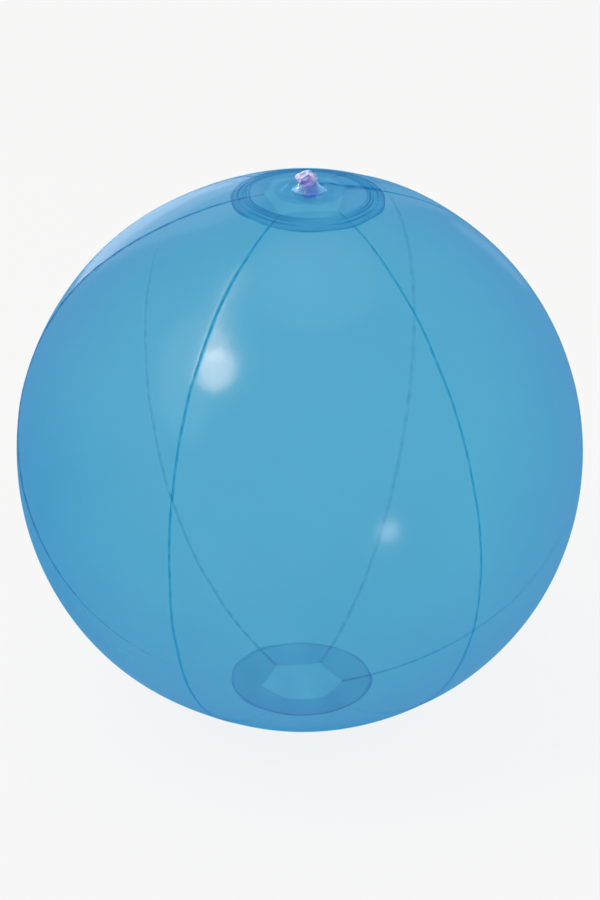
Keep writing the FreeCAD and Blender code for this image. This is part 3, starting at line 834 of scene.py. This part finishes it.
def make_top_rings():
    """The disc over the ball's top, and under it the patch and the valve's flange."""
    top_disc = make_film_ring(
        "top_disc", blue_film, TOP_DISC_ROWS, CAP_OUTSIDE, FILM, TOP_RIM_SEED,
        cap_weld, cap_gloss, cap_relief, TOP_OVAL,
    )
    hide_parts("top_cap")
    patch = make_film_ring(
        "valve_patch_ring", blue_film, PATCH_ROWS, BALL_RADIUS, FILM, PATCH_RIM_SEED,
        even(-PATCH_LIGHTER),
    )
    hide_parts("valve_patch")
    flange = make_film_ring(
        "valve_flange_ring", flange_clear, FLANGE_ROWS, BALL_RADIUS - FILM - SEAT_GAP,
        FLANGE_THICKNESS, FLANGE_RIM_SEED, even(0),
    )
    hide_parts("valve_flange")


def make_bottom_disc():
    """The disc under the ball, flat in its middle where the ball rests."""
    written = row_radii(BOTTOM_DISC_ROWS)
    radii, bearings = polar_grid(written, BOTTOM_RIM_SEED, BOTTOM_OVAL)
    spots = disc_points(radii, bearings, 0 * radii)
    uneven = 1 + swell(BOTTOM_SWELL_SEED, spots, BOTTOM_SWELL_LENGTH)
    lift = BOTTOM_SWELL_HEIGHT * uneven * (written / CAP_RADIUS) ** 2
    sheets = []
    for radius in (CAP_OUTSIDE, CAP_INSIDE):
        ball = CENTRE_HEIGHT - np.sqrt(radius**2 - radii**2)
        flat = CENTRE_HEIGHT - radius + REST_FLAT_DEPTH
        height = flat + np.logaddexp(0, (ball - flat) / FLAT_SOFTNESS) * FLAT_SOFTNESS + lift
        sheets.append(disc_points(radii, bearings, height))
    outer, inner = sheets
    points, faces = shell(outer, inner, wrap=True)
    half = len(points) // 2

    def round_the_hole(face):
        return min(face) < RING_COLUMNS and half <= max(face) < half + RING_COLUMNS

    faces = [face for face in faces if not round_the_hole(face)]
    low_middle, high_middle = len(points), len(points) + 1
    middles = [(0, 0, outer[0, :, 2].mean()), (0, 0, inner[0, :, 2].mean())]
    points = np.concatenate([points, middles])
    for column in range(RING_COLUMNS):
        after = (column + 1) % RING_COLUMNS
        faces.append((low_middle, after, column))
        faces.append((high_middle, half + column, half + after))
    points[:, :2] = belly(points - (0, 0, CENTRE_HEIGHT))[:, :2]
    piece = new_piece("bottom_disc", points, faces, blue_film)
    weld = RIM_WELD * bell(written - CAP_RADIUS, RIM_LINE)
    weld += BOTTOM_BLOTCHES * swell(BOTTOM_BLOTCH_SEED, spots, BOTTOM_BLOTCH_LENGTH)
    mark(piece, weld.ravel(), np.ones(weld.size))
    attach(piece, "ball")
    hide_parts("bottom_cap")


make_top_rings()
make_bottom_disc()


# The valve

LATHE_COLUMNS = 72
COLLAR_LEVEL = COLLAR_RADIUS * math.tan(VALVE_LEAN) + WEB_LOW_RISE / math.cos(VALVE_LEAN)
POLE = Vector((0, 0, CENTRE_HEIGHT + CAP_OUTSIDE))
VALVE_TURN = Matrix.Rotation(-VALVE_LEAN, 4, "Y")
VALVE_FRAME = Matrix.Translation(POLE) @ VALVE_TURN @ Matrix.Translation((0, 0, COLLAR_LEVEL))
HEAD_SEAT = STEM_RISE + SEAT_GAP
HEAD_SAG = 0.7 * MM
PLUG_CHAMFER = 0.4 * MM
DIMPLE_RADIUS = 1.9 * MM
DIMPLE_FLOOR_RADIUS = 1.4 * MM
DIMPLE_DEPTH = 0.5 * MM

# How far the corners of each outline are rounded, in the order in which it is drawn
ROUNDING_STEPS = 5
LARGEST_CUT = 0.49
STEM_ROUNDINGS = tuple(size * MM for size in (0.2, 0.2, 0, 0.25, 0.4, 0.3, 0.3, 0.35, 0.4, 0.2))
STOPPER_ROUNDINGS = tuple(size * MM for size in (0, 0.3, 0.3, 0.3, 0.6, 0.9, 0.4, 0.4, 0))
STRAP_ROUNDINGS = (0.35 * MM,) * 4
STRAP_ROUNDING_STEPS = 4

# How uneven the moulded pieces are, outside the bore
STEM_UNEVENNESS = 0.13 * MM
STOPPER_UNEVENNESS = 0.24 * MM
UNEVEN_LENGTH = 2.6 * MM
UNEVEN_WAVES = 6
UNEVEN_FADE = 0.6 * MM
STEM_SEED = 31
STOPPER_SEED = 41

STRAP_ROWS = 25
WEB_ROWS = 17
WEB_SAG = 0.3 * MM
WEB_SAG_DOWN = 0.6
FLAP_COLUMNS = 61
FLAP_BEVEL = 0.08 * MM
FLAP_BEVEL_STEPS = 2


def rounded(corners, radii, steps=ROUNDING_STEPS):
    """An outline with its corners rounded, each by its own radius."""
    points = []
    count = len(corners)
    for place, (corner, radius) in enumerate(zip(corners, radii)):
        here = np.array(corner, float)
        before = np.array(corners[place - 1], float) - here
        after = np.array(corners[(place + 1) % count], float) - here
        if radius <= 0:
            points.append(tuple(here))
            continue
        cut = min(radius, LARGEST_CUT * np.linalg.norm(before), LARGEST_CUT * np.linalg.norm(after))
        start = here + before / np.linalg.norm(before) * cut
        end = here + after / np.linalg.norm(after) * cut
        for share in np.linspace(0, 1, steps):
            curve = start * (1 - share) ** 2 + here * 2 * share * (1 - share) + end * share**2
            points.append(tuple(curve))
    return points


def lathe(outline, unevenness, seed):
    """The points of an outline turned about the upright axis, a little uneven outside the bore."""
    points = np.array([
        (radius * math.cos(turn), radius * math.sin(turn), height)
        for radius, height in outline
        for turn in np.linspace(0, 2 * math.pi, LATHE_COLUMNS, endpoint=False)
    ])
    shift = [swell(seed + axis, points, UNEVEN_LENGTH, UNEVEN_WAVES) for axis in range(3)]
    far = np.clip((np.hypot(points[:, 0], points[:, 1]) - STEM_BORE) / UNEVEN_FADE, 0, 1)
    return points + np.stack(shift, axis=1) * unevenness * far[:, None]


def lathe_tube(outline, unevenness, seed):
    """Points and faces of a closed outline turned about the upright axis."""
    points = lathe(outline, unevenness, seed)
    faces = sheet_faces(len(outline) + 1, LATHE_COLUMNS, wrap=True)
    return points, [tuple(corner % len(points) for corner in face) for face in faces]


def lathe_solid(outline, unevenness, seed):
    """Points and faces of an outline that starts and ends on the upright axis, turned about it."""
    points = lathe(outline[1:-1], unevenness, seed)
    bottom, top = len(points), len(points) + 1
    last = bottom - LATHE_COLUMNS
    faces = sheet_faces(len(outline) - 2, LATHE_COLUMNS, wrap=True)
    for column in range(LATHE_COLUMNS):
        after = (column + 1) % LATHE_COLUMNS
        faces.append((bottom, after, column))
        faces.append((top, last + column, last + after))
    return np.concatenate([points, [(0, 0, outline[0][1]), (0, 0, outline[-1][1])]]), faces


def on_valve(points):
    """Points of the valve's own frame, in the frame of the ball."""
    return np.array([tuple(VALVE_FRAME @ Vector(point)) for point in points])


def make_stem():
    """The stem with its collar and lip, and its bore right through."""
    lip_low = STEM_RISE - LIP_HEIGHT
    corners = [
        (STEM_BORE, -STEM_DEPTH), (STEM_RADIUS, -STEM_DEPTH), (STEM_RADIUS, 0), (COLLAR_RADIUS, 0),
        (COLLAR_RADIUS, COLLAR_HEIGHT), (STEM_RADIUS, COLLAR_HEIGHT), (STEM_RADIUS, lip_low),
        (LIP_RADIUS, lip_low), (LIP_RADIUS, STEM_RISE), (STEM_BORE, STEM_RISE),
    ]
    points, faces = lathe_tube(rounded(corners, STEM_ROUNDINGS), STEM_UNEVENNESS, STEM_SEED)
    piece = new_piece("valve_tube", on_valve(points), faces, soft_clear)
    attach(piece, "valve")
    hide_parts("valve_stem")


def make_stopper():
    """The plug in the bore, and its head with a dimple."""
    plug = STEM_BORE - PLUG_FIT
    plug_end = HEAD_SEAT - PLUG_LENGTH
    head_top = HEAD_SEAT + HEAD_THICKNESS - HEAD_SAG
    dimple = head_top - DIMPLE_DEPTH
    corners = [
        (0, plug_end), (plug - PLUG_CHAMFER, plug_end), (plug, plug_end + PLUG_CHAMFER), (plug, HEAD_SEAT),
        (HEAD_RADIUS, HEAD_SEAT), (HEAD_RADIUS, head_top), (DIMPLE_RADIUS, head_top),
        (DIMPLE_FLOOR_RADIUS, dimple), (0, dimple),
    ]
    points, faces = lathe_solid(rounded(corners, STOPPER_ROUNDINGS), STOPPER_UNEVENNESS, STOPPER_SEED)
    piece = new_piece("stopper_plug", on_valve(points), faces, soft_clear)
    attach(piece, "stopper")
    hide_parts("stopper")


def make_strap():
    """The bowed strap from the collar to the head, swept as a rounded flat bar."""
    low = COLLAR_HEIGHT / 2
    high = HEAD_SEAT + (HEAD_THICKNESS - HEAD_SAG) / 2
    middle, bend = (low + high) / 2, (high - low) / 2
    thick, wide = STRAP_THICKNESS / 2, STRAP_WIDTH / 2
    corners = [(-thick, -wide), (thick, -wide), (thick, wide), (-thick, wide)]
    section = rounded(corners, STRAP_ROUNDINGS, STRAP_ROUNDING_STEPS)
    turn = Matrix.Rotation(STRAP_BEARING, 4, "Z")
    points = []
    for way in np.linspace(-math.pi / 2, math.pi / 2, STRAP_ROWS):
        for outwards, sideways in section:
            radius = bend + outwards
            across = HEAD_RADIUS + SEAT_GAP + radius * math.cos(way)
            points.append(turn @ Vector((across, sideways, middle + radius * math.sin(way))))
    count = len(section)
    faces = [tuple(reversed(face)) for face in sheet_faces(STRAP_ROWS, count, wrap=True)]
    faces += [tuple(range(count)), tuple(reversed(range(len(points) - count, len(points))))]
    piece = new_piece("stopper_band", on_valve(points), faces, soft_clear)
    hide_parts("stopper_strap")
    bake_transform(piece)


def level_ring(radius, height=0.0):
    """Points round the upright axis."""
    turns = np.linspace(0, 2 * math.pi, LATHE_COLUMNS, endpoint=False)
    return [Vector((radius * math.cos(turn), radius * math.sin(turn), height)) for turn in turns]


def web_cone(rim_radius, rim_height, crown_radius, level):
    """One face of the web: a sagging cone up to the collar, and a ring under the collar to the stem."""
    crown_frame = Matrix.Translation(POLE) @ VALVE_TURN @ Matrix.Translation((0, 0, level))
    feet = level_ring(rim_radius, rim_height)
    heads = [crown_frame @ point for point in level_ring(crown_radius)]
    inwards = [-point for point in level_ring(1, WEB_SAG_DOWN)]
    rings = []
    for share in np.linspace(0, 1, WEB_ROWS):
        sag = WEB_SAG * math.sin(math.pi * share)
        rings.append([
            tuple(foot.lerp(head, share) + inward * sag)
            for foot, head, inward in zip(feet, heads, inwards)
        ])
    rings.append([tuple(crown_frame @ point) for point in level_ring(STEM_RADIUS + SEAT_GAP)])
    return np.array(rings)


def make_web():
    """The soft cone from the rim of the hole up to the leaning stem."""
    rim = HOLE_RADIUS - SEAT_GAP
    rim_height = CENTRE_HEIGHT + math.sqrt((BALL_RADIUS - FILM - SEAT_GAP) ** 2 - HOLE_RADIUS**2)
    crown_level = COLLAR_LEVEL - SEAT_GAP
    outer = web_cone(rim, rim_height, COLLAR_RADIUS, crown_level)
    inner = web_cone(
        rim - WEB_THICKNESS, rim_height, COLLAR_RADIUS - WEB_THICKNESS / 2, crown_level - WEB_THICKNESS)
    points, faces = shell(outer, inner, wrap=True)
    piece = new_piece("valve_cone", points, faces, web_clear)
    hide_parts("valve_web")
    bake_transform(piece)


def make_flap():
    """The thin flap under the stem, with its tab."""
    top = -STEM_DEPTH - SEAT_GAP
    edge = []
    tab_turn = math.asin(FLAP_TAB_WIDTH / 2 / FLAP_RADIUS)
    for turn in np.linspace(-math.pi + tab_turn, math.pi - tab_turn, FLAP_COLUMNS):
        edge.append((FLAP_RADIUS * math.cos(turn), FLAP_RADIUS * math.sin(turn)))
    edge += [(-STEM_RADIUS, FLAP_TAB_WIDTH / 2), (-STEM_RADIUS, -FLAP_TAB_WIDTH / 2)]
    count = len(edge)
    points = [(x, y, top) for x, y in edge] + [(x, y, top - FLAP_THICKNESS) for x, y in edge]
    faces = [tuple(range(count)), tuple(reversed(range(count, 2 * count)))]
    faces += [
        (place, count + place, count + (place + 1) % count, (place + 1) % count) for place in range(count)
    ]
    piece = new_piece("flap_disc", on_valve(points), faces, soft_clear)
    bevel = piece.modifiers.new("soft_edges", "BEVEL")
    bevel.width = FLAP_BEVEL
    bevel.segments = FLAP_BEVEL_STEPS
    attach(piece, "flap")
    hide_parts("check_flap")


make_stem()
make_stopper()
make_strap()
make_web()
make_flap()


# Floor, light and camera

FLOOR_REACH = 20.0
FLOOR_DROP = 0.1 * MM
ROOM_GREY = 0.8
WARM_WHITE = (1.0, 0.76, 0.64)
PALE_PINK = (1.0, 0.84, 0.84)
PLAIN_WHITE = (1, 1, 1)

CAMERA_BEARING = -95
CAMERA_HEIGHT = 28.1
CAMERA_DISTANCE = 1.283
CAMERA_LEAN = math.radians(0.8)
CAMERA_LENS = 102.8
CAMERA_SENSOR = 36
CAMERA_CLIP = (0.05, 100)
FILM_SKINS_SEEN = 40


def heading(bearing, height):
    """A direction from a bearing and a height, in degrees."""
    bearing, height = math.radians(bearing), math.radians(height)
    level = math.cos(height)
    return Vector((level * math.cos(bearing), level * math.sin(bearing), math.sin(height)))


# Each lamp's direction from its aim, how wide and tall it looks from there in radians, and its radiance
Lamp = namedtuple("Lamp", "name towards size radiance")
KEY_DISTANCE = 2.4
KEY_AIM = (-0.052, -0.093, 0.233)
KEY_UPRIGHT = (0.11, 0.37, 0.20)
KEY_LAMPS = (
    Lamp("key_low", (-0.5645, -0.294, 0.7715), (0.24, 0.30), 12.8),
    Lamp("key_middle", (-0.541, -0.131, 0.831), (0.13, 0.24), 9),
    Lamp("key_high", (-0.480, 0.050, 0.876), (0.09, 0.30), 5.5),
    Lamp("key_tail", (-0.405, 0.200, 0.892), (0.11, 0.46), 3.8),
)
KEY_GLOW = Lamp("key_glow", (-0.735, -0.225, 0.640), (0.34, 0.95), 0.8)
OVERHEAD_DISTANCE = 2.2
OVERHEAD_UPRIGHT = (0, 1, 0)
OVERHEAD_LAMPS = (
    Lamp("overhead_0", (0.07, 0.16, 0.98), (0.35, 0.42), 0.5),
    Lamp("overhead_1", (0.07, 0.16, 0.98), (0.55, 0.66), 0.5),
    Lamp("overhead_2", (0.07, 0.16, 0.98), (0.75, 0.90), 0.5),
)
FRONT_DISTANCE = 0.95
FRONT_AIM = (0.0268, -0.1337, 0.169)
FRONT_LAMP = Lamp("low_front", (0.475, -0.863, -0.11), (0.14, 0.15), 8.2)
BACK_DISTANCE = 0.8
LEFT_LIMB = (-0.085, 0.012, 0.25)
RIGHT_LIMB = (0.09, -0.004, 0.246)
CROWN = (0.04, 0.02, 0.27)
BACK_LAMPS = (
    (LEFT_LIMB, Lamp("back_low", heading(99, -6), (0.54, 0.36), 2.3)),
    (LEFT_LIMB, Lamp("back_middle", heading(99, 0), (0.50, 0.58), 1.6)),
    (LEFT_LIMB, Lamp("back_high", heading(102, 10), (0.52, 1.05), 1.2)),
    (RIGHT_LIMB, Lamp("back_right", heading(65, -4), (0.20, 0.32), 1.2)),
    (CROWN, Lamp("back_crown", heading(73, 15), (0.18, 1.00), 0.7)),
)


def make_floor():
    """A wide pale floor just under the ball."""
    mesh = bpy.data.meshes.new("floor")
    sides = ((-1, -1), (1, -1), (1, 1), (-1, 1))
    corners = [(right * FLOOR_REACH, back * FLOOR_REACH, -FLOOR_DROP) for right, back in sides]
    mesh.from_pydata(corners, [], [(0, 1, 2, 3)])
    mesh.materials.append(floor_material("paper_floor"))
    floor = bpy.data.objects.new("floor", mesh)
    bpy.context.scene.collection.objects.link(floor)


def make_world():
    """A grey room as light, which shows the floor's white where it is seen."""
    world = bpy.data.worlds.new("studio")
    bpy.context.scene.world = world
    nodes = Nodes(world, "ShaderNodeOutputWorld")
    room, paper = (
        nodes.add("ShaderNodeBackground", {"Color": grey(shade)}).outputs[0]
        for shade in (ROOM_GREY, PAPER_WHITE)
    )
    nodes.finish(nodes.blend(nodes.seen(), room, paper))


def softbox(spec, distance, aim=(0, 0, CENTRE_HEIGHT), upright=(0, 0, 1), colour=PLAIN_WHITE):
    """An oval soft light that the camera doesn't see."""
    towards = Vector(spec.towards).normalized()
    width, height = spec.size
    light = bpy.data.lights.new(spec.name, "AREA")
    light.shape = "ELLIPSE"
    light.size = width * distance
    light.size_y = height * distance
    light.energy = spec.radiance * math.pi * math.pi * light.size * light.size_y / 4
    light.color = colour
    lamp = bpy.data.objects.new(spec.name, light)
    side = Vector(upright).cross(towards).normalized()
    turn = Matrix((side, towards.cross(side), towards)).transposed().to_4x4()
    lamp.matrix_world = Matrix.Translation(Vector(aim) + towards * distance) @ turn
    lamp.visible_camera = False
    bpy.context.scene.collection.objects.link(lamp)
    return lamp


def make_lights():
    """The key lamps up on the left, and weak ones above, low in front and behind the ball."""
    for lamp in KEY_LAMPS:
        softbox(lamp, KEY_DISTANCE, KEY_AIM, KEY_UPRIGHT, WARM_WHITE)
    softbox(KEY_GLOW, KEY_DISTANCE, KEY_AIM, KEY_UPRIGHT)
    for lamp in OVERHEAD_LAMPS:
        softbox(lamp, OVERHEAD_DISTANCE, upright=OVERHEAD_UPRIGHT)
    softbox(FRONT_LAMP, FRONT_DISTANCE, FRONT_AIM, colour=PALE_PINK)
    for aim, lamp in BACK_LAMPS:
        softbox(lamp, BACK_DISTANCE, aim).visible_diffuse = False


def make_camera():
    """The camera, aimed at the middle of the ball's belly."""
    centre = Vector((-BELLY_SHIFT, 0, CENTRE_HEIGHT))
    away = heading(CAMERA_BEARING, CAMERA_HEIGHT)
    camera = bpy.data.cameras.new("camera")
    camera.sensor_width = CAMERA_SENSOR
    camera.lens = CAMERA_LENS
    camera.clip_start, camera.clip_end = CAMERA_CLIP
    eye = bpy.data.objects.new("camera", camera)
    turn = (-away).to_track_quat("-Z", "Y").to_matrix() @ Matrix.Rotation(CAMERA_LEAN, 3, "Z")
    eye.matrix_world = Matrix.Translation(centre + away * CAMERA_DISTANCE) @ turn.to_4x4()
    bpy.context.scene.collection.objects.link(eye)
    bpy.context.scene.camera = eye


make_floor()
make_world()
make_lights()
make_camera()

scene = bpy.context.scene
scene.view_settings.view_transform = "Standard"
scene.cycles.transparent_max_bounces = FILM_SKINS_SEEN
